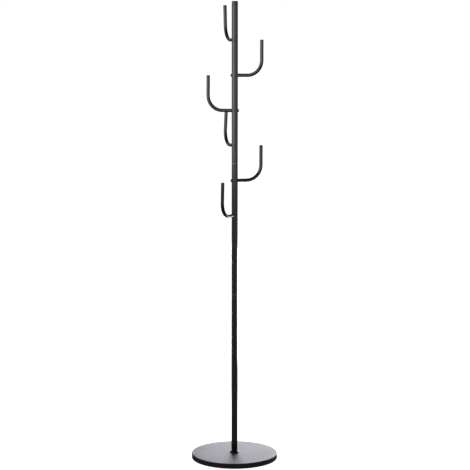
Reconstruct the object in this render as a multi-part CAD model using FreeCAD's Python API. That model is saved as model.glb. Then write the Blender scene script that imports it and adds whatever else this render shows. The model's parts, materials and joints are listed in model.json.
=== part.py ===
import FreeCAD, Part

import math
import os

# A standing coat rack: a weighted round base, a pole screwed together from three steel tubes,
# and six bent tube arms that are each held by one screw through the pole.
# +Z is up. The origin is on the floor, under the pole's axis. Lengths are in millimetres.

# Overall
rack_height = 1700.0
base_diameter = 320.0
base_side_height = 18.0

# Base: a pressed steel cover over a cast weight, closed below by a plate on pads
pad_height = 2.0
pad_diameter = 24.0
pad_count = 6
pad_rim_distance = 25.0        # from the cover's outer side to a pad's centre
cover_wall = 1.5
cover_edge_radius = 2.5
plate_thickness = 2.0
plate_clearance = 0.5          # all round, inside the cover's side
weight_clearance = 0.5
weight_web = 6.0               # weight left above the bolt's recess
recess_clearance = 7.0         # round the base washer

# Base bolt and its washer
bolt_diameter = 10.0
bolt_head_width = 17.0         # across the flats
bolt_head_height = 6.4
bolt_engagement = 18.0
washer_diameter = 30.0
washer_thickness = 2.5
bolt_clearance = 1.0           # on the diameter of the holes that the bolt passes

# Pole
pole_diameter = 22.0
pole_wall = 1.5
pole_edge = 0.6                # chamfer at the ends of the tubes
middle_pole_length = 484.5
joint_ring_height = 4.0
joint_ring_edge = 0.8
joint_below_arm = 66.0         # from the lowest arm on the upper pole to the middle of the joint below it
insert_length = 22.0
foot_insert_length = 28.0
stud_diameter = 10.0
stud_engagement = 17.0
thread_lead_in = 1.0           # chamfer at the ends of studs, bolts and threaded holes

# Collar round the foot of the pole
collar_diameter = 36.0
collar_height = 7.0
collar_lip = 1.4
collar_top_wall = 0.9
collar_clearance = 0.15

# Cap on the top of the pole
cap_height = 12.5
cap_edge_radius = 2.5
cap_spigot_length = 14.0
cap_spigot_clearance = 0.1

# Arms
arm_diameter = 12.0
arm_wall = 1.2
arm_reach = 104.0              # from the pole's axis to the axis of the arm's upright
arm_bend_radius = 55.0         # on the tube's axis
arm_rise = 128.0               # from the axis of the arm's level part to its tip
arm_spacing = 128.5            # up the pole, from one arm to the next
first_arm_below_top = 139.0

# Each arm's heading, anticlockwise from +X seen from above, and how far it leans about its screw,
# in degrees, from the top of the rack down
upper_arms = ((109.0, -1.2), (340.0, 0.0), (161.0, 0.9), (111.0, 2.6))
middle_arms = ((21.0, 0.3), (244.0, -1.1))

# Plug in each arm's tip
tip_height = 8.5
tip_edge_radius = 1.6
tip_seam = 0.4
tip_spigot_length = 9.0
tip_spigot_clearance = 0.1

# Screw that holds each arm, its saddle washer, and the threaded insert in the arm
screw_diameter = 6.0
screw_clearance = 0.4          # on the diameter of the holes in the pole and the washer
screw_head_diameter = 10.5
screw_head_height = 3.3
screw_head_rim = 0.7
screw_head_crown = 4.6         # diameter of the flat on top
screw_socket_width = 4.0
screw_socket_depth = 2.0
screw_engagement = 15.8
saddle_diameter = 12.0
saddle_thickness = 1.2
arm_insert_length = 20.0
arm_insert_setback = 1.0

# Worked out from the sizes above
pole_radius = pole_diameter / 2
pole_bore_radius = pole_radius - pole_wall
arm_radius = arm_diameter / 2
arm_bore_radius = arm_radius - arm_wall
stud_radius = stud_diameter / 2
bolt_radius = bolt_diameter / 2
screw_radius = screw_diameter / 2

base_radius = base_diameter / 2
base_top = pad_height + base_side_height
weight_top = base_top - cover_wall
plate_top = pad_height + plate_thickness
recess_top = weight_top - weight_web
recess_radius = washer_diameter / 2 + recess_clearance

cap_seam = rack_height - cap_height
arm_levels = [
    rack_height - first_arm_below_top - arm_spacing * count
    for count in range(len(upper_arms) + len(middle_arms))
]
upper_joint = arm_levels[len(upper_arms) - 1] - joint_below_arm
upper_pole_bottom = upper_joint + joint_ring_height / 2
middle_pole_top = upper_joint - joint_ring_height / 2
middle_pole_bottom = middle_pole_top - middle_pole_length
lower_pole_top = middle_pole_bottom - joint_ring_height

up = FreeCAD.Vector(0, 0, 1)
outward = FreeCAD.Vector(1, 0, 0)
centre = FreeCAD.Vector(0, 0, 0)


def turned(points, arcs=()):
    """A solid turned about the Z axis from (radius, height) points, in order round its section.

    arcs holds (index, middle point) pairs: the side that starts at that index is an arc through the middle point.
    """
    corners = [FreeCAD.Vector(radius, 0, height) for radius, height in points]
    middles = {index: FreeCAD.Vector(radius, 0, height) for index, (radius, height) in arcs}
    edges = []
    for index, start in enumerate(corners):
        end = corners[(index + 1) % len(corners)]
        if index in middles:
            edges.append(Part.Arc(start, middles[index], end).toShape())
        else:
            edges.append(Part.LineSegment(start, end).toShape())
    return Part.Face(Part.Wire(edges)).revolve(centre, up, 360)


def corner_middle(corner_radius, side, top):
    """The middle of a quarter round that joins a side at that radius to a top at that height."""
    inset = corner_radius * (1 - math.sqrt(0.5))
    return (side - inset, top - inset)


def rod(radius, bottom, top):
    return Part.makeCylinder(radius, top - bottom, FreeCAD.Vector(0, 0, bottom), up)


def cross_rod(radius, start, end):
    """A cylinder along X, from start to end."""
    return Part.makeCylinder(radius, end - start, FreeCAD.Vector(start, 0, 0), outward)


def hex_bar(width, bottom, top):
    corner_radius = width / math.sqrt(3)
    corners = [
        FreeCAD.Vector(corner_radius * math.cos(turn), corner_radius * math.sin(turn), bottom)
        for turn in (math.radians(60 * side) for side in range(7))
    ]
    return Part.Face(Part.makePolygon(corners)).extrude(up * (top - bottom))


def threaded_rod(radius, bottom, top):
    """A plain rod for a thread, with a chamfer at each end."""
    return turned([
        (0, bottom),
        (radius - thread_lead_in, bottom),
        (radius, bottom + thread_lead_in),
        (radius, top - thread_lead_in),
        (radius - thread_lead_in, top),
        (0, top),
    ])


def pole_outside():
    """The pole's outer surface as a solid, for what is cut to sit on it."""
    return rod(pole_radius, -arm_reach, arm_reach)


def aimed(shape, heading, level):
    """Turns a shape made along +X to its heading, and lifts it to its level on the pole."""
    shape.rotate(centre, up, heading)
    shape.translate(up * level)
    return shape


def base_cover():
    inner_radius = base_radius - cover_wall
    inner_corner = cover_edge_radius - cover_wall
    points = [
        (bolt_radius + bolt_clearance / 2, weight_top),
        (inner_radius - inner_corner, weight_top),
        (inner_radius, weight_top - inner_corner),
        (inner_radius, pad_height),
        (base_radius, pad_height),
        (base_radius, base_top - cover_edge_radius),
        (base_radius - cover_edge_radius, base_top),
        (bolt_radius + bolt_clearance / 2, base_top),
    ]
    arcs = (
        (1, corner_middle(inner_corner, inner_radius, weight_top)),
        (5, corner_middle(cover_edge_radius, base_radius, base_top)),
    )
    return turned(points, arcs)


def base_weight():
    side = base_radius - cover_wall - weight_clearance
    chamfer = cover_edge_radius
    body = turned([
        (0, plate_top),
        (side, plate_top),
        (side, weight_top - chamfer),
        (side - chamfer, weight_top),
        (0, weight_top),
    ])
    recess = rod(recess_radius, plate_top, recess_top)
    hole = rod(bolt_radius + bolt_clearance / 2, plate_top, weight_top)
    return body.cut(recess).cut(hole)


def base_plate():
    side = base_radius - cover_wall - plate_clearance
    return rod(side, pad_height, plate_top).cut(rod(recess_radius, pad_height, plate_top))


def foot_pads():
    distance = base_radius - pad_rim_distance
    pads = []
    for number in range(pad_count):
        turn = math.radians(360 / pad_count * number)
        place = FreeCAD.Vector(distance * math.cos(turn), distance * math.sin(turn), 0)
        pads.append(Part.makeCylinder(pad_diameter / 2, pad_height, place, up))
    return Part.makeCompound(pads)


def base_washer():
    bottom = recess_top - washer_thickness
    hole = rod(bolt_radius + bolt_clearance / 2, bottom, recess_top)
    return rod(washer_diameter / 2, bottom, recess_top).cut(hole)


def base_bolt():
    seat = recess_top - washer_thickness
    shank = threaded_rod(bolt_radius, seat - thread_lead_in, base_top + bolt_engagement)
    return hex_bar(bolt_head_width, seat - bolt_head_height, seat).fuse(shank)


def foot_collar():
    inner_radius = pole_radius + collar_clearance
    outer_radius = collar_diameter / 2
    return turned([
        (inner_radius, base_top),
        (outer_radius, base_top),
        (outer_radius, base_top + collar_lip),
        (inner_radius + collar_top_wall, base_top + collar_height),
        (inner_radius, base_top + collar_height),
    ])


def screw_hole(heading, level):
    """The hole for an arm's screw, through both walls of the pole."""
    hole = cross_rod(screw_radius + screw_clearance / 2, -pole_diameter, pole_diameter)
    return aimed(hole, heading, level)


def pole_tube(bottom, top, holes=()):
    tube = turned([
        (pole_bore_radius, bottom),
        (pole_radius - pole_edge, bottom),
        (pole_radius, bottom + pole_edge),
        (pole_radius, top - pole_edge),
        (pole_radius - pole_edge, top),
        (pole_bore_radius, top),
    ])
    for heading, level in holes:
        tube = tube.cut(screw_hole(heading, level))
    return tube


def pole_insert(bottom, top, thread_radius):
    """A plug pressed into the end of a tube, threaded right through."""
    return turned([
        (thread_radius, bottom + thread_lead_in),
        (thread_radius + thread_lead_in, bottom),
        (pole_bore_radius, bottom),
        (pole_bore_radius, top),
        (thread_radius + thread_lead_in, top),
        (thread_radius, top - thread_lead_in),
    ])


def joint_ring(bottom, top):
    return turned([
        (stud_radius + screw_clearance, bottom),
        (pole_radius - joint_ring_edge, bottom),
        (pole_radius, bottom + joint_ring_edge),
        (pole_radius, top - joint_ring_edge),
        (pole_radius - joint_ring_edge, top),
        (stud_radius + screw_clearance, top),
    ])


def pole_joint(ring_bottom, ring_top):
    """The ring, the stud and the two inserts of a joint between tubes."""
    return {
        "ring": joint_ring(ring_bottom, ring_top),
        "stud": threaded_rod(stud_radius, ring_bottom - stud_engagement, ring_top + stud_engagement),
        "insert_below": pole_insert(ring_bottom - insert_length, ring_bottom, stud_radius),
        "insert_above": pole_insert(ring_top, ring_top + insert_length, stud_radius),
    }


def top_cap():
    spigot_radius = pole_bore_radius - cap_spigot_clearance
    points = [
        (0, cap_seam - cap_spigot_length),
        (spigot_radius, cap_seam - cap_spigot_length),
        (spigot_radius, cap_seam),
        (pole_radius - pole_edge, cap_seam),
        (pole_radius, cap_seam + pole_edge),
        (pole_radius, rack_height - cap_edge_radius),
        (pole_radius - cap_edge_radius, rack_height),
        (0, rack_height),
    ]
    return turned(points, [(5, corner_middle(cap_edge_radius, pole_radius, rack_height))])


def arm_path(start):
    """The arm's axis from that distance along X: level, round the bend, and up to the plug's seam."""
    bend_start = FreeCAD.Vector(arm_reach - arm_bend_radius, 0, 0)
    inset = arm_bend_radius * (1 - math.sqrt(0.5))
    bend_middle = FreeCAD.Vector(arm_reach - inset, 0, inset)
    bend_end = FreeCAD.Vector(arm_reach, 0, arm_bend_radius)
    tip = FreeCAD.Vector(arm_reach, 0, arm_rise - tip_height)
    return Part.Wire([
        Part.LineSegment(FreeCAD.Vector(start, 0, 0), bend_start).toShape(),
        Part.Arc(bend_start, bend_middle, bend_end).toShape(),
        Part.LineSegment(bend_end, tip).toShape(),
    ])


def swept(radius, start):
    section = Part.Wire(Part.makeCircle(radius, FreeCAD.Vector(start, 0, 0), outward))
    return arm_path(start).makePipeShell([section], True, False)


def arm_tube(heading, lean, level):
    """A bent tube whose level end is coped to sit on the pole."""
    tube = swept(arm_radius, 0).cut(swept(arm_bore_radius, 0))
    tube.rotate(centre, outward, lean)
    return aimed(tube.cut(pole_outside()), heading, level)


def arm_insert(heading, level):
    start = pole_radius + arm_insert_setback
    end = start + arm_insert_length
    plug = cross_rod(arm_bore_radius, start, end).cut(cross_rod(screw_radius, start, end))
    return aimed(plug, heading, level)


def arm_tip(heading, lean, level):
    seam = arm_rise - tip_height
    spigot_radius = arm_bore_radius - tip_spigot_clearance
    points = [
        (0, seam - tip_spigot_length),
        (spigot_radius, seam - tip_spigot_length),
        (spigot_radius, seam),
        (arm_radius - tip_seam, seam),
        (arm_radius, seam + tip_seam),
        (arm_radius, arm_rise - tip_edge_radius),
        (arm_radius - tip_edge_radius, arm_rise),
        (0, arm_rise),
    ]
    plug = turned(points, [(5, corner_middle(tip_edge_radius, arm_radius, arm_rise))])
    plug.translate(outward * arm_reach)
    plug.rotate(centre, outward, lean)
    return aimed(plug, heading, level)


def saddle_washer(heading, level):
    """Sits between the pole and the flat underside of the screw's head."""
    seat = -pole_radius - saddle_thickness
    disc = cross_rod(saddle_diameter / 2, seat, 0).cut(pole_outside())
    hole = cross_rod(screw_radius + screw_clearance / 2, seat, 0)
    return aimed(disc.cut(hole), heading, level)


def arm_screw(heading, level):
    """A button head screw, from the far side of the pole into the arm's insert."""
    seat = -pole_radius - saddle_thickness
    end = pole_radius + arm_insert_setback + screw_engagement
    head_radius = screw_head_diameter / 2
    crown_radius = screw_head_crown / 2
    crown_middle = ((head_radius + crown_radius) * 0.54, screw_head_height * 0.72)
    head_points = [
        (0, 0),
        (head_radius, 0),
        (head_radius, screw_head_rim),
        (crown_radius, screw_head_height),
        (0, screw_head_height),
    ]
    head = turned(head_points, [(2, crown_middle)])
    socket_bottom = screw_head_height - screw_socket_depth
    head = head.cut(hex_bar(screw_socket_width, socket_bottom, screw_head_height))
    shank = rod(screw_radius, seat - end, 0)
    screw = head.fuse(shank)
    screw.rotate(centre, FreeCAD.Vector(0, 1, 0), -90)
    screw.translate(outward * seat)
    return aimed(screw, heading, level)


def main():
    arms = [
        (heading, lean, level)
        for (heading, lean), level in zip(upper_arms + middle_arms, arm_levels)
    ]
    holes = [(heading, level) for heading, lean, level in arms]
    upper_holes = holes[:len(upper_arms)]
    middle_holes = holes[len(upper_arms):]
    parts = {
        "base_cover": base_cover(),
        "base_weight": base_weight(),
        "base_plate": base_plate(),
        "foot_pads": foot_pads(),
        "base_washer": base_washer(),
        "base_bolt": base_bolt(),
        "foot_collar": foot_collar(),
        "foot_insert": pole_insert(base_top, base_top + foot_insert_length, bolt_radius),
        "lower_pole": pole_tube(base_top, lower_pole_top),
        "middle_pole": pole_tube(middle_pole_bottom, middle_pole_top, middle_holes),
        "upper_pole": pole_tube(upper_pole_bottom, cap_seam, upper_holes),
        "top_cap": top_cap(),
        "arm_screws": Part.makeCompound([arm_screw(heading, level) for heading, level in holes]),
        "saddle_washers": Part.makeCompound([saddle_washer(heading, level) for heading, level in holes]),
    }
    joints = {
        "lower_joint": pole_joint(lower_pole_top, middle_pole_bottom),
        "upper_joint": pole_joint(middle_pole_top, upper_pole_bottom),
    }
    for joint, pieces in joints.items():
        for piece, shape in pieces.items():
            parts[joint + "_" + piece] = shape
    for number, (heading, lean, level) in enumerate(arms, start=1):
        parts[f"arm_{number}"] = arm_tube(heading, lean, level)
        parts[f"arm_insert_{number}"] = arm_insert(heading, level)
        parts[f"arm_tip_{number}"] = arm_tip(heading, lean, level)
    os.makedirs("parts", exist_ok=True)
    for node, shape in parts.items():
        shape.exportStep(f"parts/{node}.step")
    print(len(parts), "nodes")


main()
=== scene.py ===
import json
import math

import bmesh
import bpy
from mathutils import Euler, Matrix, Vector


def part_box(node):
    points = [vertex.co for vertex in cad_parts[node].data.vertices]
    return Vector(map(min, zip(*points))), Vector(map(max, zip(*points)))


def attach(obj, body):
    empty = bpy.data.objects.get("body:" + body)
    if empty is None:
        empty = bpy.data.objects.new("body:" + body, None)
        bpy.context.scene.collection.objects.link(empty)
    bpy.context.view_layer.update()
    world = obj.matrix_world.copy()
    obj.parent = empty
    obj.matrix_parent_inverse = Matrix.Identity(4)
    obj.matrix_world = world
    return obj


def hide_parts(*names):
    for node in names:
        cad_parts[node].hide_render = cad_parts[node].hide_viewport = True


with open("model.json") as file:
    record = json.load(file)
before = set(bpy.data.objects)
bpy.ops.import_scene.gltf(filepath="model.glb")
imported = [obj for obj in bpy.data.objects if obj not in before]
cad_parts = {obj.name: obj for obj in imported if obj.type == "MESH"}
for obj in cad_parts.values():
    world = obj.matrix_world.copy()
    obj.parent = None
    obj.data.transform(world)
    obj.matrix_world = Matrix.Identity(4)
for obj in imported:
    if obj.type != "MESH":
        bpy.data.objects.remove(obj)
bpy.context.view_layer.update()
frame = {"nodes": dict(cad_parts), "record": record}
armCount = 6
wholeTurn = 2 * math.pi
print("frame loaded:", len(frame["nodes"]), "nodes")


class Signal:            # one output of a node, so that node maths read as plain Python
    def __init__(self, graph, socket):
        self.graph = graph
        self.socket = socket

    def output(self, name):
        return Signal(self.graph, self.socket.node.outputs[name])

    def maths(self, operation, *values):
        return self.graph.node("ShaderNodeMath", {"operation": operation}, dict(enumerate(values)))

    def __add__(self, other):
        return self.maths("ADD", self, other)

    def __radd__(self, other):
        return self.maths("ADD", other, self)

    def __sub__(self, other):
        return self.maths("SUBTRACT", self, other)

    def __rsub__(self, other):
        return self.maths("SUBTRACT", other, self)

    def __mul__(self, other):
        return self.maths("MULTIPLY", self, other)

    def __rmul__(self, other):
        return self.maths("MULTIPLY", other, self)

    def __truediv__(self, other):
        return self.maths("DIVIDE", self, other)

    def __pow__(self, other):
        return self.maths("POWER", self, other)

    def atLeast(self, other):
        return self.maths("MAXIMUM", self, other)

    def atMost(self, other):
        return self.maths("MINIMUM", self, other)

    def isBelow(self, other):
        return self.maths("LESS_THAN", self, other)

    def ramp(self, low, high):                      # 0 below low, 1 above high, smooth between
        settings = {"interpolation_type": "SMOOTHSTEP"}
        ends = {"Value": self, "From Min": low, "From Max": high, "To Min": 0.0, "To Max": 1.0}
        return self.graph.node("ShaderNodeMapRange", settings, ends)


class Graph:             # a node tree, and the one method that adds a node to it
    def __init__(self, tree):
        self.tree = tree

    def node(self, kind, settings=None, inputs=None):
        made = self.tree.nodes.new(kind)
        for key, value in (settings or {}).items():
            if key == "stops":
                fillRamp(made.color_ramp, value)
            else:
                setattr(made, key, value)
        for key, value in (inputs or {}).items():
            if isinstance(value, Signal):
                self.tree.links.new(value.socket, made.inputs[key])
            else:
                made.inputs[key].default_value = value
        shown = [socket for socket in made.outputs if socket.enabled]
        return Signal(self, shown[0]) if shown else None


def fillRamp(ramp, stops):
    # a new ramp comes with two elements, which take the first and the last stop
    for element, (place, colour) in zip(list(ramp.elements), (stops[0], stops[-1])):
        element.position = place
        element.color = (*colour, 1.0)
    for place, colour in stops[1:-1]:
        ramp.elements.new(place).color = (*colour, 1.0)


def grey(level, tint=(1.0, 1.0, 1.0)):
    return tuple(level * part for part in tint)


blueTint = (0.96, 0.96, 1.08)

coatedTube = {           # powder coat on the pole and the arms
    "dark": grey(0.0030, blueTint), "light": grey(0.0065, blueTint),
    "roughness": 0.21, "roughnessSpread": 0.05,
    "cloudScale": 22.0, "grainScale": 1100.0, "grainHeight": 0.000006,
}
coatedBase = {           # powder coat on the base cover
    # the edge level here is a lighter colour painted on the rounded edges as a highlight
    "dark": grey(0.0018, blueTint), "light": grey(0.0038, blueTint), "shine": 0.4, "edgeHighlightLevel": 0.018,
    "roughness": 0.60, "roughnessSpread": 0.05,
    "cloudScale": 14.0, "grainScale": 900.0, "grainHeight": 0.000006,
}
nickelRing = {           # dark nickel on the joint rings
    # the edge level here is a lighter colour painted on the rounded edges as a highlight
    "dark": grey(0.105), "light": grey(0.135), "metallic": 1.0, "edgeHighlightLevel": 0.20,
    "roughness": 0.24, "roughnessSpread": 0.05,
    "cloudScale": 60.0, "grainScale": 1500.0, "grainHeight": 0.000008,
}
mouldedTrim = {          # the collar
    "dark": grey(0.0018), "light": grey(0.0036), "shine": 0.2,
    "roughness": 0.30, "roughnessSpread": 0.06,
    "cloudScale": 80.0, "grainScale": 2200.0, "grainHeight": 0.000008,
}
mouldedCap = {           # the top cap, the arms' tips and the saddle washers
    # the edge level here is a lighter colour painted on the rounded edges as a highlight
    "dark": grey(0.0040), "light": grey(0.0080), "edgeHighlightLevel": 0.016,
    "roughness": 0.29, "roughnessSpread": 0.06,
    "cloudScale": 120.0, "grainScale": 2600.0, "grainHeight": 0.000006,
}
platedScrew = {          # the arms' screws
    "dark": grey(0.080), "light": grey(0.110), "metallic": 1.0,
    "roughness": 0.36, "roughnessSpread": 0.08,
    "cloudScale": 220.0, "grainScale": 3000.0, "grainHeight": 0.000006,
}
plateGrain = {           # the plate under the base
    "dark": grey(0.020), "light": grey(0.034),
    "roughness": 0.55, "roughnessSpread": 0.12,
    "cloudScale": 30.0, "grainScale": 1400.0, "grainHeight": 0.000060,
}
padRubber = {            # the pads under the plate
    "dark": grey(0.026), "light": grey(0.045),
    "roughness": 0.72, "roughnessSpread": 0.12,
    "cloudScale": 90.0, "grainScale": 1800.0, "grainHeight": 0.000050,
}


def newMaterial(name):
    material = bpy.data.materials.new(name)
    material.use_nodes = True
    material.node_tree.nodes.clear()
    return material, Graph(material.node_tree)


def noise(graph, place, scale, detail=2.0, roughness=0.5):
    inputs = {"Vector": place, "Scale": scale, "Detail": detail, "Roughness": roughness}
    return graph.node("ShaderNodeTexNoise", None, inputs)


def clouded(graph, place, finish):
    detail, roughness = finish["cloudDetail"], finish["cloudRoughness"]
    return noise(graph, place, finish["cloudScale"], detail, roughness)


def objectPlace(graph):
    return graph.node("ShaderNodeTexCoord").output("Object")


def mixed(graph, share, first, second):
    settings = {"data_type": "RGBA", "blend_type": "MIX"}
    first, second = (
        colour if isinstance(colour, Signal) else (*colour, 1.0) for colour in (first, second)
    )
    return graph.node("ShaderNodeMix", settings, {0: share, 6: first, 7: second}).output(2)


def bumped(graph, height, distance):
    inputs = {"Strength": 1.0, "Distance": distance, "Height": height}
    return graph.node("ShaderNodeBump", None, inputs)


def surface(graph, colour, roughness, normal, **fixed):
    inputs = {"Base Color": colour, "Roughness": roughness, "Normal": normal}
    inputs.update({key.replace("_", " "): value for key, value in fixed.items()})
    shader = graph.node("ShaderNodeBsdfPrincipled", None, inputs)
    graph.node("ShaderNodeOutputMaterial", None, {"Surface": shader})


patches = (0.35, 0.65)   # between these a cloud turns from bare to full
coatMix = {              # what all coatings share
    "cloudDetail": 3.0, "cloudRoughness": 0.55, "cloudContrast": 1.6,
    "fleckScale": 0.37, "fleckRange": (0.62, 0.74), "fleckShare": 0.4,
    "shine": 0.5, "edgeHighlightPolish": 0.3,
    "edgeStarts": (0.05, 0.35), "edgeEnds": (0.65, 0.95),    # squares of how far a face looks up
}


def paintedEdgeHighlight(graph, cloud):
    # a rounded edge faces neither up nor sideways; there, in patches, a lighter colour is painted
    # on as a highlight and the coat is made smoother
    normal = graph.node("ShaderNodeTexCoord").output("Normal")
    rise = graph.node("ShaderNodeSeparateXYZ", None, {0: normal}).output("Z")
    steepness = rise * rise
    edge = steepness.ramp(*coatMix["edgeStarts"]) - steepness.ramp(*coatMix["edgeEnds"])
    return edge * cloud.ramp(*patches)


def coating(name, finish):   # paint, plastic or rubber: a dark skin with a fine grain
    material, graph = newMaterial(name)
    place = objectPlace(graph)
    cloud = clouded(graph, place, {**coatMix, **finish})
    grain = noise(graph, place, finish["grainScale"], 1.0)
    fleck = noise(graph, place, finish["grainScale"] * coatMix["fleckScale"], 0.0)
    fleck = fleck.ramp(*coatMix["fleckRange"])
    contrast = coatMix["cloudContrast"]
    share = cloud * contrast - (contrast - 1) / 2 + fleck * coatMix["fleckShare"]
    colour = mixed(graph, share.atLeast(0.0).atMost(1.0), finish["dark"], finish["light"])
    uneven = cloud - 0.5 + (grain - 0.5) * 0.5
    roughness = finish["roughness"] + uneven * finish["roughnessSpread"]
    # painted highlight: rounded edges get a lighter colour in patches, and a lower roughness
    if "edgeHighlightLevel" in finish:
        edgeHighlight = paintedEdgeHighlight(graph, cloud)
        colour = mixed(graph, edgeHighlight, colour, grey(finish["edgeHighlightLevel"]))
        roughness = roughness - edgeHighlight * (finish["roughness"] * coatMix["edgeHighlightPolish"])
    metallic, shine = finish.get("metallic", 0.0), finish.get("shine", coatMix["shine"])
    surface(graph, colour, roughness, bumped(graph, grain, finish["grainHeight"]),
            Metallic=metallic, Specular_IOR_Level=shine)
    return material


zincFinish = {           # bolt, washer, studs and threaded plugs
    "dark": (0.42, 0.42, 0.44), "light": (0.62, 0.62, 0.64), "warm": (0.56, 0.54, 0.46),
    "roughness": 0.30, "roughnessSpread": 0.25,
    "cloudScale": 130.0, "cloudDetail": 4.0, "cloudRoughness": 0.6,
    "stainScale": 39.0, "stainRange": (0.5, 0.75), "stainShare": 0.6,
    "grainScale": 2600.0, "grainHeight": 0.000008,
}


def zincPlating():
    material, graph = newMaterial("zincPlating")
    place = objectPlace(graph)
    cloud = clouded(graph, place, zincFinish)
    grain = noise(graph, place, zincFinish["grainScale"])
    bright = mixed(graph, cloud.ramp(*patches), zincFinish["dark"], zincFinish["light"])
    stain = noise(graph, place, zincFinish["stainScale"]).ramp(*zincFinish["stainRange"])
    colour = mixed(graph, stain * zincFinish["stainShare"], bright, zincFinish["warm"])
    roughness = zincFinish["roughness"] + (cloud - 0.5) * zincFinish["roughnessSpread"]
    surface(graph, colour, roughness, bumped(graph, grain, zincFinish["grainHeight"]), Metallic=1.0)
    return material


castFinish = {           # the weight inside the base
    "dark": (0.17, 0.165, 0.155), "light": (0.36, 0.35, 0.33),
    "roughness": 0.88, "roughnessSpread": 0.15,
    "cloudScale": 18.0, "cloudDetail": 5.0, "cloudRoughness": 0.65, "cloudShare": 0.7,
    "sandScale": 900.0, "sandShare": 0.5, "sandHeight": 0.3, "shareShift": 0.1,
    "poreScale": 260.0, "poreRange": (0.05, 0.25), "poreHeight": 0.0006,
}


def castConcrete():
    material, graph = newMaterial("castConcrete")
    place = objectPlace(graph)
    cloud = clouded(graph, place, castFinish)
    sand = noise(graph, place, castFinish["sandScale"])
    inputs = {"Vector": place, "Scale": castFinish["poreScale"]}
    distance = graph.node("ShaderNodeTexVoronoi", None, inputs).output("Distance")
    pore = 1 - distance.ramp(*castFinish["poreRange"])
    share = cloud * castFinish["cloudShare"] + sand * castFinish["sandShare"]
    share = (share - castFinish["shareShift"]).atLeast(0.0).atMost(1.0)
    colour = mixed(graph, share, castFinish["dark"], castFinish["light"])
    roughness = castFinish["roughness"] + (sand - 0.5) * castFinish["roughnessSpread"]
    height = sand * castFinish["sandHeight"] - pore
    surface(graph, colour, roughness, bumped(graph, height, castFinish["poreHeight"]))
    return material


tubePaint = coating("tubePaint", coatedTube)
basePaint = coating("basePaint", coatedBase)
ringPaint = coating("ringPaint", nickelRing)
trimPlastic = coating("trimPlastic", mouldedTrim)
capPlastic = coating("capPlastic", mouldedCap)
screwBlack = coating("screwBlack", platedScrew)
platePlastic = coating("platePlastic", plateGrain)
rubber = coating("padRubber", padRubber)
zinc = zincPlating()
concrete = castConcrete()
print("finishes made")


supportGap = 0.0004      # an extra ring this far from a rounded edge keeps the flat beside it flat
smoothAngle = math.radians(32)
tiny = 0.0000001


def softened(corners, steps=5):
    # corners are (radius, height, rounding)
    # each rounded one becomes an arc with a support point at both sides
    points = []
    for index, (radius, height, rounding) in enumerate(corners):
        corner = Vector((radius, height))
        if not rounding:
            points.append(corner)
            continue
        before = Vector(corners[index - 1][:2]) - corner
        after = Vector(corners[(index + 1) % len(corners)][:2]) - corner
        half = before.angle(after) / 2
        towards, away = before.normalized(), after.normalized()
        reach = rounding / math.tan(half)
        middle = corner + (towards + away).normalized() * rounding / math.sin(half)
        start, end = corner + towards * reach, corner + away * reach
        if before.length > reach + 2 * supportGap:
            points.append(start + towards * supportGap)
        sweep = math.pi - 2 * half
        for step in range(steps + 1):
            near, far = math.sin(sweep * (1 - step / steps)), math.sin(sweep * step / steps)
            spoke = ((start - middle) * near + (end - middle) * far) / math.sin(sweep)
            points.append(middle + spoke)
        if after.length > reach + 2 * supportGap:
            points.append(end + away * supportGap)
    return points


def wrapped(name, rings, material, closed=True):
    # rings are lists of points in order along the piece; a ring of one point is a pole
    made = bmesh.new()
    loops = [[made.verts.new(point) for point in ring] for ring in rings]
    pairs = list(zip(loops, loops[1:]))
    if closed:
        pairs.append((loops[-1], loops[0]))
    for first, second in pairs:
        count = max(len(first), len(second))
        for place in range(count):
            following = (place + 1) % count
            corners = [first[place % len(first)], first[following % len(first)]]
            corners += [second[following % len(second)], second[place % len(second)]]
            made.faces.new(list(dict.fromkeys(corners)))
    bmesh.ops.recalc_face_normals(made, faces=made.faces)
    mesh = bpy.data.meshes.new(name)
    made.to_mesh(mesh)
    made.free()
    return finished(name, mesh, material)


def finished(name, mesh, material):
    mesh.polygons.foreach_set("use_smooth", [True] * len(mesh.polygons))
    mesh.set_sharp_from_angle(angle=smoothAngle)
    mesh.materials.clear()
    mesh.materials.append(material)
    piece = bpy.data.objects.new(name, mesh)
    bpy.context.scene.collection.objects.link(piece)
    return piece


def circle(radius, height, segments):
    if radius < tiny:
        return [Vector((0, 0, height))]
    turns = [wholeTurn * place / segments for place in range(segments)]
    return [Vector((radius * math.cos(turn), radius * math.sin(turn), height)) for turn in turns]


def turned(name, corners, segments, material):
    points = softened(corners)
    solidOfPoles = corners[0][0] == 0 and corners[-1][0] == 0
    rings = [circle(point.x, point.y, segments) for point in points]
    return wrapped(name, rings, material, closed=not solidOfPoles)


def standsFor(piece, slot, *nodes):
    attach(piece, "root")
    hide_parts(*nodes)
    return piece


def geometryTree(name, sockets):
    # sockets are (name, kind); returns the graph and a signal for each input
    tree = bpy.data.node_groups.new(name, "GeometryNodeTree")
    tree.interface.new_socket(name="Geometry", in_out="OUTPUT", socket_type="NodeSocketGeometry")
    for socketName, kind in sockets:
        tree.interface.new_socket(name=socketName, in_out="INPUT", socket_type="NodeSocket" + kind)
    graph = Graph(tree)
    source = tree.nodes.new("NodeGroupInput")
    given = {socketName: Signal(graph, source.outputs[socketName]) for socketName, kind in sockets}
    return graph, given


def grown(name, graph, values, material, points=None):
    # runs a tree on a mesh and keeps the result as a plain mesh
    holder = bpy.data.objects.new(name + "Source", points or bpy.data.meshes.new(name + "Source"))
    bpy.context.scene.collection.objects.link(holder)
    modifier = holder.modifiers.new("grow", "NODES")
    modifier.node_group = graph.tree
    for socket in graph.tree.interface.items_tree:
        if socket.name in values:
            modifier[socket.identifier] = values[socket.name]
    bpy.context.view_layer.update()
    evaluated = holder.evaluated_get(bpy.context.evaluated_depsgraph_get())
    mesh = bpy.data.meshes.new_from_object(evaluated)
    mesh.name = name
    bpy.data.objects.remove(holder)
    return finished(name, mesh, material)


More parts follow.
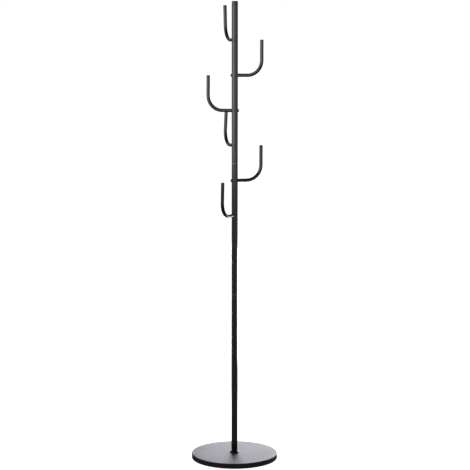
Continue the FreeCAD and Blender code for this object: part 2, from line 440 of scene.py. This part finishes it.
def closeTree(graph, geometry, material):
    # every tree ends in Realize Instances and Set Material
    real = graph.node("GeometryNodeRealizeInstances", None, {"Geometry": geometry})
    coated = graph.node("GeometryNodeSetMaterial", None, {"Geometry": real, "Material": material})
    graph.node("NodeGroupOutput", None, {0: coated})


def middleOf(node):
    low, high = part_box(node)
    return (low + high) / 2


baseSet = {
    "edgeRound": 0.0025, "wall": 0.0015, "lipRound": 0.0006, "boltHole": 0.0055, "segments": 288,
}


def buildBaseCover():
    low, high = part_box("base_cover")
    side = min(high.x, high.y, -low.x, -low.y)
    wall, boltHole = baseSet["wall"], baseSet["boltHole"]
    corners = [
        (boltHole, high.z, 0),
        (side, high.z, baseSet["edgeRound"]),
        (side, low.z, baseSet["lipRound"]),
        (side - wall, low.z, baseSet["lipRound"]),
        (side - wall, high.z - wall, baseSet["edgeRound"] - wall),
        (boltHole, high.z - wall, 0),
    ]
    cover = turned("baseCover", corners, baseSet["segments"], basePaint)
    return standsFor(cover, "base_paint", "base_cover")


collarSet = {
    "clearance": 0.00015, "lip": 0.0014, "lipRound": 0.0005,
    "topWall": 0.0009, "topRound": 0.0003, "segments": 96,
}


def buildFootCollar():
    low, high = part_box("foot_collar")
    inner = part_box("lower_pole")[1].x + collarSet["clearance"]
    corners = [
        (inner, low.z, 0),
        (high.x, low.z, 0),
        (high.x, low.z + collarSet["lip"], collarSet["lipRound"]),
        (inner + collarSet["topWall"], high.z, collarSet["topRound"]),
        (inner, high.z, 0),
    ]
    collar = turned("footCollar", corners, collarSet["segments"], trimPlastic)
    return standsFor(collar, "trim_plastic", "foot_collar")


padSet = {"count": 6, "diameter": 0.024, "round": 0.0006, "segments": 48}


def buildFootPads():
    graph, given = geometryTree("padRing", [
        ("Pad", "Object"), ("Count", "Int"), ("Distance", "Float"), ("Material", "Material"),
    ])
    ring = graph.node("GeometryNodeMeshCircle", None, {
        "Vertices": given["Count"], "Radius": given["Distance"],
    })
    pad = graph.node("GeometryNodeObjectInfo", None, {"Object": given["Pad"]}).output("Geometry")
    pads = graph.node("GeometryNodeInstanceOnPoints", None, {"Points": ring, "Instance": pad})
    closeTree(graph, pads, given["Material"])
    low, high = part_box("foot_pads")
    radius = padSet["diameter"] / 2
    corners = [(0, high.z, 0), (radius, high.z, 0), (radius, low.z, padSet["round"]), (0, low.z, 0)]
    pattern = turned("padPattern", corners, padSet["segments"], rubber)
    values = {
        "Pad": pattern, "Count": padSet["count"], "Distance": high.x - radius, "Material": rubber,
    }
    pads = grown("footPads", graph, values, rubber)
    bpy.data.objects.remove(pattern)
    return standsFor(pads, "pad_rubber", "foot_pads")


buildBaseCover()
buildFootCollar()
buildFootPads()
print("base built")


poleSet = {"wall": 0.0015, "endRound": 0.0006, "segments": 128}


def buildPoleTube(name, node):
    low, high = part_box(node)
    bore = high.x - poleSet["wall"]
    corners = [
        (bore, low.z, 0),
        (high.x, low.z, poleSet["endRound"]),
        (high.x, high.z, poleSet["endRound"]),
        (bore, high.z, 0),
    ]
    return standsFor(turned(name, corners, poleSet["segments"], tubePaint), "pole_paint", node)


ringSet = {"bore": 0.0054, "round": 0.0007}


def buildJointRing(name, node):
    low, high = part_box(node)
    corners = [
        (ringSet["bore"], low.z, 0),
        (high.x, low.z, ringSet["round"]),
        (high.x, high.z, ringSet["round"]),
        (ringSet["bore"], high.z, 0),
    ]
    return standsFor(turned(name, corners, poleSet["segments"], ringPaint), "joint_rings", node)


capSet = {"height": 0.0125, "spigot": 0.0094, "edgeRound": 0.0025, "seamRound": 0.0006}


def buildTopCap():
    low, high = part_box("top_cap")
    seam = high.z - capSet["height"]
    corners = [
        (0, low.z, 0),
        (capSet["spigot"], low.z, 0),
        (capSet["spigot"], seam, 0),
        (high.x, seam, capSet["seamRound"]),
        (high.x, high.z, capSet["edgeRound"]),
        (0, high.z, 0),
    ]
    cap = turned("topCap", corners, poleSet["segments"], capPlastic)
    return standsFor(cap, "trim_plastic", "top_cap")


for tube in ("lower", "middle", "upper"):
    buildPoleTube(tube + "Pole", tube + "_pole")
for joint in ("lower", "upper"):
    buildJointRing(joint + "JointRing", joint + "_joint_ring")
buildTopCap()
print("pole built")


armSet = {
    "tubeRadius": 0.006, "bendRadius": 0.055, "tipHeight": 0.0085, "bendPoints": 28, "segments": 64,
}
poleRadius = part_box("upper_pole")[1].x


def armPlace(number):
    # an arm's heading and level come from its insert, and its reach, rise and lean from its tip
    insert = middleOf(f"arm_insert_{number}")
    tip = middleOf(f"arm_tip_{number}")
    heading = math.atan2(insert.y, insert.x)
    ahead = Vector((math.cos(heading), math.sin(heading)))
    aside = Vector((-ahead.y, ahead.x))
    lean = math.atan2(-tip.xy.dot(aside), tip.z - insert.z)
    return {"heading": heading, "level": insert.z, "reach": tip.xy.dot(ahead), "lean": lean}


places = [armPlace(number) for number in range(1, armCount + 1)]
# the upright arms give the reach and the rise, because a lean shortens a box's height
armReach = sum(place["reach"] for place in places) / armCount
armRise = max(
    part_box(f"arm_tip_{number}")[1].z - place["level"]
    for number, place in enumerate(places, start=1)
)
armSeam = armRise - armSet["tipHeight"]


def armTree():
    graph, given = geometryTree("bentArm", [
        ("Reach", "Float"), ("Rise", "Float"), ("Bend Radius", "Float"), ("Bend Points", "Int"),
        ("Tube Radius", "Float"), ("Segments", "Int"), ("Pole Radius", "Float"),
        ("Lean", "Float"), ("Heading", "Float"), ("Level", "Float"), ("Material", "Material"),
    ])
    line = graph.node("GeometryNodeCurvePrimitiveLine", None, {"End": (1.0, 0.0, 0.0)})
    three = graph.node("GeometryNodeResampleCurve", None, {"Curve": line, "Count": 3})
    index = graph.node("GeometryNodeInputIndex")
    # out to the upright, then straight up
    across = index.atMost(1.0) * given["Reach"]
    upward = (index - 1.0).atLeast(0.0) * given["Rise"]
    place = graph.node("ShaderNodeCombineXYZ", None, {"X": across, "Z": upward})
    path = graph.node("GeometryNodeSetPosition", None, {"Geometry": three, "Position": place})
    bend = graph.node("GeometryNodeFilletCurve", {"mode": "POLY"}, {
        "Curve": path, "Radius": given["Bend Radius"], "Count": given["Bend Points"],
        "Limit Radius": True,
    })
    section = graph.node("GeometryNodeCurvePrimitiveCircle", None, {
        "Resolution": given["Segments"], "Radius": given["Tube Radius"],
    })
    tube = graph.node("GeometryNodeCurveToMesh", None, {
        "Curve": bend, "Profile Curve": section, "Fill Caps": True,
    })
    lean = graph.node("ShaderNodeCombineXYZ", None, {"X": given["Lean"]})
    leaning = graph.node("GeometryNodeTransform", None, {"Geometry": tube, "Rotation": lean})
    # the end inside the pole is drawn out to the pole's surface, so that it is coped to it
    point = graph.node("ShaderNodeSeparateXYZ", None, {0: graph.node("GeometryNodeInputPosition")})
    aside = point.output("Y")
    face = (given["Pole Radius"] ** 2 - aside * aside) ** 0.5
    inside = point.output("X").isBelow(given["Tube Radius"])
    height = point.output("Z")
    coped = graph.node("ShaderNodeCombineXYZ", None, {"X": face, "Y": aside, "Z": height})
    fitted = graph.node("GeometryNodeSetPosition", None, {
        "Geometry": leaning, "Selection": inside, "Position": coped,
    })
    turn = graph.node("ShaderNodeCombineXYZ", None, {"Z": given["Heading"]})
    lift = graph.node("ShaderNodeCombineXYZ", None, {"Z": given["Level"]})
    aimed = graph.node("GeometryNodeTransform", None, {
        "Geometry": fitted, "Rotation": turn, "Translation": lift,
    })
    closeTree(graph, aimed, given["Material"])
    return graph


def buildArms():
    graph = armTree()
    for number, place in enumerate(places, start=1):
        values = {
            "Reach": armReach, "Rise": armSeam, "Bend Radius": armSet["bendRadius"],
            "Bend Points": armSet["bendPoints"], "Tube Radius": armSet["tubeRadius"],
            "Segments": armSet["segments"], "Pole Radius": poleRadius,
            "Lean": place["lean"], "Heading": place["heading"], "Level": place["level"],
            "Material": tubePaint,
        }
        arm = grown(f"arm{number}Tube", graph, values, tubePaint)
        standsFor(arm, "pole_paint", f"arm_{number}")


buildArms()
print("arms built")


def armPoints():
    # one point per arm, on the pole's axis
    # "leaned" turns a piece with the arm, and "level" keeps it upright
    mesh = bpy.data.meshes.new("armPoints")
    mesh.from_pydata([(0, 0, place["level"]) for place in places], [], [])
    leaned = mesh.attributes.new("leaned", "FLOAT_VECTOR", "POINT")
    level = mesh.attributes.new("level", "FLOAT_VECTOR", "POINT")
    for index, place in enumerate(places):
        leaned.data[index].vector = (place["lean"], 0, place["heading"])
        level.data[index].vector = (0, 0, place["heading"])
    return mesh


def fittingTree():
    graph, given = geometryTree("armFittings", [
        ("Points", "Geometry"), ("Piece", "Object"), ("Turn", "String"), ("Material", "Material"),
    ])
    turn = graph.node("GeometryNodeInputNamedAttribute", {"data_type": "FLOAT_VECTOR"}, {
        "Name": given["Turn"],
    })
    piece = graph.node("GeometryNodeObjectInfo", None, {"Object": given["Piece"]})
    rotation = graph.node("FunctionNodeEulerToRotation", None, {0: turn})
    placed = graph.node("GeometryNodeInstanceOnPoints", None, {
        "Points": given["Points"], "Instance": piece.output("Geometry"), "Rotation": rotation,
    })
    closeTree(graph, placed, given["Material"])
    return graph


fittings = fittingTree()


def fitted(name, pattern, turn, material, slot, *nodes):
    values = {"Piece": pattern, "Turn": turn, "Material": material}
    piece = grown(name, fittings, values, material, armPoints())
    bpy.data.objects.remove(pattern)
    return standsFor(piece, slot, *nodes)


tipSet = {
    "edgeRound": 0.0016, "seamRound": 0.0004,
    "spigot": 0.0047, "spigotLength": 0.009, "segments": 64,
}


def buildTips():
    tubeRadius = armSet["tubeRadius"]
    corners = [
        (0, armSeam - tipSet["spigotLength"], 0),
        (tipSet["spigot"], armSeam - tipSet["spigotLength"], 0),
        (tipSet["spigot"], armSeam, 0),
        (tubeRadius, armSeam, tipSet["seamRound"]),
        (tubeRadius, armRise, tipSet["edgeRound"]),
        (0, armRise, 0),
    ]
    pattern = turned("tipPattern", corners, tipSet["segments"], capPlastic)
    pattern.data.transform(Matrix.Translation((armReach, 0, 0)))
    nodes = [f"arm_tip_{number}" for number in range(1, armCount + 1)]
    return fitted("armTips", pattern, "leaned", capPlastic, "trim_plastic", *nodes)


screwSet = {
    "seat": 0.0122, "length": 0.040, "shankRadius": 0.003, "endChamfer": 0.0008,
    "headRadius": 0.00525, "headHeight": 0.0033, "rim": 0.0007, "crownRadius": 0.0023,
    "headChamfer": 0.0002, "rimSupport": 0.0001, "domeSteps": 10,
    "socketWidth": 0.004, "socketDepth": 0.002, "socketCone": 0.0004,
    "socketLipWidth": 0.0003, "socketLipDepth": 0.00015, "segments": 72,
}


def hexagon(width, height, segments):
    # a ring of points on a hexagon's sides, in step with a circle of as many segments
    points = []
    for place in range(segments):
        turn = wholeTurn * place / segments
        within = turn % math.radians(60) - math.radians(30)
        reach = width / 2 / math.cos(within)
        points.append(Vector((reach * math.cos(turn), reach * math.sin(turn), height)))
    return points


def buildScrews():
    segments, length = screwSet["segments"], screwSet["length"]
    head, rim, height = screwSet["headRadius"], screwSet["rim"], screwSet["headHeight"]
    crown, shank = screwSet["crownRadius"], screwSet["shankRadius"]
    endChamfer, headChamfer = screwSet["endChamfer"], screwSet["headChamfer"]
    width, floor = screwSet["socketWidth"], height - screwSet["socketDepth"]
    outline = [
        (0, -length), (shank - endChamfer, -length), (shank, endChamfer - length), (shank, 0),
        (head - headChamfer, 0), (head, headChamfer), (head, rim - screwSet["rimSupport"]),
    ]
    for step in range(screwSet["domeSteps"] + 1):   # from the rim over the dome to the flat crown
        turn = math.radians(90) * step / screwSet["domeSteps"]
        radius = crown + (head - crown) * math.cos(turn)
        outline.append((radius, rim + (height - rim) * math.sin(turn)))
    rings = [circle(radius, level, segments) for radius, level in outline]
    rings += [
        hexagon(width + screwSet["socketLipWidth"], height, segments),
        hexagon(width, height - screwSet["socketLipDepth"], segments),
        hexagon(width, floor, segments),
        circle(0, floor - screwSet["socketCone"], segments),
    ]
    pattern = wrapped("screwPattern", rings, screwBlack, closed=False)
    seated = Matrix.Translation((-screwSet["seat"], 0, 0)) @ Matrix.Rotation(-math.pi / 2, 4, "Y")
    pattern.data.transform(seated)
    return fitted("armScrews", pattern, "level", screwBlack, "black_screws", "arm_screws")


saddleSet = {
    "radius": 0.006, "hole": 0.0032, "thickness": 0.0012,
    "round": 0.0003, "roundSteps": 4, "segments": 96,
}


def buildSaddles():
    segments, seat = saddleSet["segments"], poleRadius + saddleSet["thickness"]

    def ring(radius, distance=None):                # distance None lies on the pole
        points = []
        for spoke in circle(radius, 0, segments):
            back = math.sqrt(poleRadius ** 2 - spoke.y ** 2) if distance is None else distance
            points.append(Vector((-back, spoke.y, spoke.x)))
        return points

    outer, hole, edge = saddleSet["radius"], saddleSet["hole"], saddleSet["round"]
    flat = outer - edge
    rings = [ring(hole), ring(hole, seat), ring(flat - supportGap, seat), ring(flat, seat)]
    for step in range(1, saddleSet["roundSteps"] + 1):
        turn = math.radians(90) * step / saddleSet["roundSteps"]
        rings.append(ring(flat + edge * math.sin(turn), seat - edge + edge * math.cos(turn)))
    rings.append(ring(outer))
    pattern = wrapped("saddlePattern", rings, capPlastic)
    return fitted("saddleWashers", pattern, "level", capPlastic, "trim_plastic", "saddle_washers")


buildTips()
buildScrews()
buildSaddles()
print("arm fittings built")


keptFinishes = {"plate_plastic": platePlastic, "concrete": concrete, "zinc_steel": zinc}


def finishKeptNodes():
    slots = {part["node"]: part["material_slot"] for part in frame["record"]["subparts"]}
    kept = 0
    for name, solid in frame["nodes"].items():
        if not solid.hide_render:
            solid.material_slots[0].material = keptFinishes[slots[name]]
            kept += 1
    print("kept solids finished:", kept)


finishKeptNodes()


worldSet = {
    # brightness against elevation in degrees, towards the camera and behind the object
    "front": (
        (-90, 1.0), (-70, 0.3), (-40, 0.05), (-24, 0.08), (-17, 0.46), (-14, 0.78), (-11, 0.62),
        (-8, 0.66), (-5, 1.45), (-2, 1.5), (2, 1.6), (6, 0.9), (12, 0.24), (40, 0.10), (90, 0.05),
    ),
    "back": (
        (-90, 1.2), (-70, 0.4), (-30, 0.3), (-8, 0.5), (-3, 0.3), (4, 0.3), (10, 0.8), (20, 1.1),
        (40, 1.0), (60, 0.4), (90, 0.1),
    ),
    "brightest": 8.0,    # a ramp holds colours up to 1, so the profiles are scaled by this
    "frontEdge": -0.3, "backEdge": 0.7, "leastAcross": 0.001,
    "tint": (1.0, 0.99, 1.045, 1.0), "shown": (1.0, 1.0, 1.0, 1.0),
}


def elevationProfile(graph, rising, profile):
    stops = [(0.5 + 0.5 * math.sin(math.radians(angle)), grey(level / worldSet["brightest"]))
             for angle, level in profile]
    ramp = graph.node("ShaderNodeValToRGB", {"stops": stops}, {"Fac": 0.5 + 0.5 * rising})
    return worldSet["brightest"] * graph.node("ShaderNodeRGBToBW", None, {"Color": ramp})


def buildWorld():
    world = bpy.data.worlds.new("studio")
    bpy.context.scene.world = world
    world.use_nodes = True
    world.node_tree.nodes.clear()
    graph = Graph(world.node_tree)
    direction = graph.node("ShaderNodeTexCoord").output("Generated")
    way = graph.node("ShaderNodeSeparateXYZ", None, {0: direction})
    aside, away, rising = way.output("X"), way.output("Y"), way.output("Z")
    behind = away / ((aside * aside + away * away) ** 0.5).atLeast(worldSet["leastAcross"])
    front = elevationProfile(graph, rising, worldSet["front"])
    back = elevationProfile(graph, rising, worldSet["back"])
    strength = front + (back - front) * behind.ramp(worldSet["frontEdge"], worldSet["backEdge"])
    studio, white = (
        graph.node("ShaderNodeBackground", None, {"Color": colour, "Strength": level})
        for colour, level in ((worldSet["tint"], strength), (worldSet["shown"], 1.0))
    )
    seen = graph.node("ShaderNodeLightPath").output("Is Camera Ray")
    shown = graph.node("ShaderNodeMixShader", None, {0: seen, 1: studio, 2: white})
    graph.node("ShaderNodeOutputWorld", None, {"Surface": shown})


panelTint = (1.0, 0.985, 1.055)
lightSet = {             # place, aim, width, height, brightness
    "windowLeft": ((-1.66, -1.12, 1.93), (0.0, 0.0, 1.88), 3.4, 2.0, 4.4),
    "frontRight": ((1.05, -2.25, 1.45), (0.0, 0.0, 1.45), 4.0, 1.4, 1.5),
    "behindBase": ((0.41, 0.80, 0.42), (0.12, 0.0, 0.02), 1.5, 0.6, 10.0),
}


def buildLights():
    for name, (place, aim, width, height, brightness) in lightSet.items():
        data = bpy.data.lights.new(name, "AREA")
        data.shape = "RECTANGLE"
        data.size, data.size_y = width, height
        data.energy = brightness * math.pi * width * height
        data.color = panelTint
        lamp = bpy.data.objects.new(name, data)
        lamp.location = place
        lamp.rotation_euler = (Vector(aim) - Vector(place)).to_track_quat("-Z", "Y").to_euler()
        lamp.visible_camera = False
        bpy.context.scene.collection.objects.link(lamp)


floorSet = {
    "size": 60.0, "dark": grey(0.020), "pale": grey(0.028), "glow": 0.97,
    "cloudScale": 3.0, "roughness": 0.7, "roughnessSpread": 0.1, "bumpHeight": 0.0001,
}


def buildFloor():
    # opal acrylic lit from beneath, so that hardly any shadow shows
    material, graph = newMaterial("paleFloor")
    cloud = noise(graph, objectPlace(graph), floorSet["cloudScale"])
    colour = mixed(graph, cloud, floorSet["dark"], floorSet["pale"])
    roughness = floorSet["roughness"] + cloud * floorSet["roughnessSpread"]
    surface(graph, colour, roughness, bumped(graph, cloud, floorSet["bumpHeight"]),
            Emission_Color=(1.0, 1.0, 1.0, 1.0), Emission_Strength=floorSet["glow"])
    half = floorSet["size"] / 2
    mesh = bpy.data.meshes.new("floor")
    corners = [(-half, -half, 0), (half, -half, 0), (half, half, 0), (-half, half, 0)]
    mesh.from_pydata(corners, [], [(0, 1, 2, 3)])
    mesh.materials.append(material)
    floor = bpy.data.objects.new("floor", mesh)
    floor.visible_glossy = False     # the coats reflect the studio's darker lower half instead
    bpy.context.scene.collection.objects.link(floor)


cameraSet = {            # lengths in metres, angles in degrees, lens and sensor in millimetres
    "distance": 5.251, "height": 1.484, "pitchDown": 6.94, "turnLeft": -0.009, "roll": -0.045,
    "lens": 109.47, "sensor": 36.0, "near": 0.1, "far": 200.0,
    "gamma": 0.75,       # a little more contrast than the plain view
}


def buildCamera():
    data = bpy.data.cameras.new("camera")
    data.sensor_width = cameraSet["sensor"]
    data.lens = cameraSet["lens"]
    data.clip_start, data.clip_end = cameraSet["near"], cameraSet["far"]
    camera = bpy.data.objects.new("camera", data)
    camera.location = (0.0, -cameraSet["distance"], cameraSet["height"])
    angles = (90 - cameraSet["pitchDown"], cameraSet["roll"], cameraSet["turnLeft"])
    camera.rotation_euler = Euler([math.radians(angle) for angle in angles])
    bpy.context.scene.collection.objects.link(camera)
    bpy.context.scene.camera = camera
    view = bpy.context.scene.view_settings
    view.view_transform = "Standard"
    view.gamma = cameraSet["gamma"]


buildWorld()
buildLights()
buildFloor()
buildCamera()
print("studio built")
